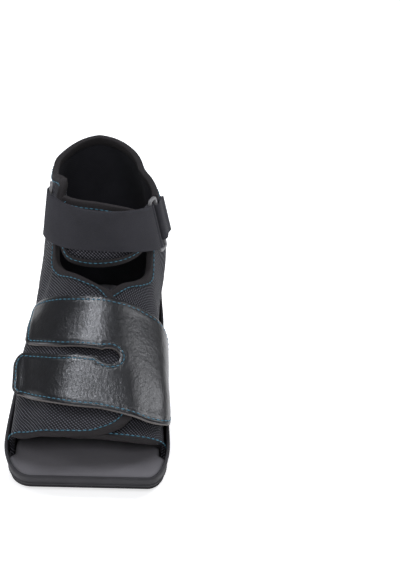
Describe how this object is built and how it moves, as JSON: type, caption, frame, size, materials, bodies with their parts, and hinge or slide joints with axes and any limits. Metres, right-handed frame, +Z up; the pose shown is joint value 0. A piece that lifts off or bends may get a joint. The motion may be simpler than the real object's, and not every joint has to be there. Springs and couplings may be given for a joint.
{
  "type": "post-operative shoe",
  "caption": "Open-toe post-operative shoe with a square rocker sole, lapped mesh upper, forked leather instep strap and a padded ankle strap through side rings.",
  "frame": {"origin": "middle of the footprint, on the surface that the sole stands on", "axes": "+Z up, +Y from toe to heel along the sole, +X towards the medial (inner) side of the right foot"},
  "size_m": [0.1014, 0.2667, 0.1393],
  "materials": {
    "sole_rubber": "matte",
    "bed_foam": "matte foam",
    "spacer_mesh": "ribbed mesh",
    "heel_fabric": "smooth knit",
    "knit_tape": "knit",
    "strap_leather": "satin pebbled",
    "webbing": "matte brushed",
    "ring_plastic": "satin",
    "stitch_thread": "thread"
  },
  "bodies": {
    "root": {"outsole": "sole_rubber", "footbed": "bed_foam", "lateral_quarter": "spacer_mesh", "medial_quarter": "spacer_mesh", "heel_counter": "heel_fabric", "lateral_binding": "knit_tape", "medial_binding": "knit_tape", "heel_binding": "knit_tape", "vamp_strap": "strap_leather", "ankle_pad": "spacer_mesh", "pad_binding": "knit_tape", "ankle_strap": "webbing", "lateral_ring": "ring_plastic", "medial_ring": "ring_plastic", "lateral_ring_tab": "webbing", "medial_ring_tab": "webbing"}
  },
  "joints": []
}
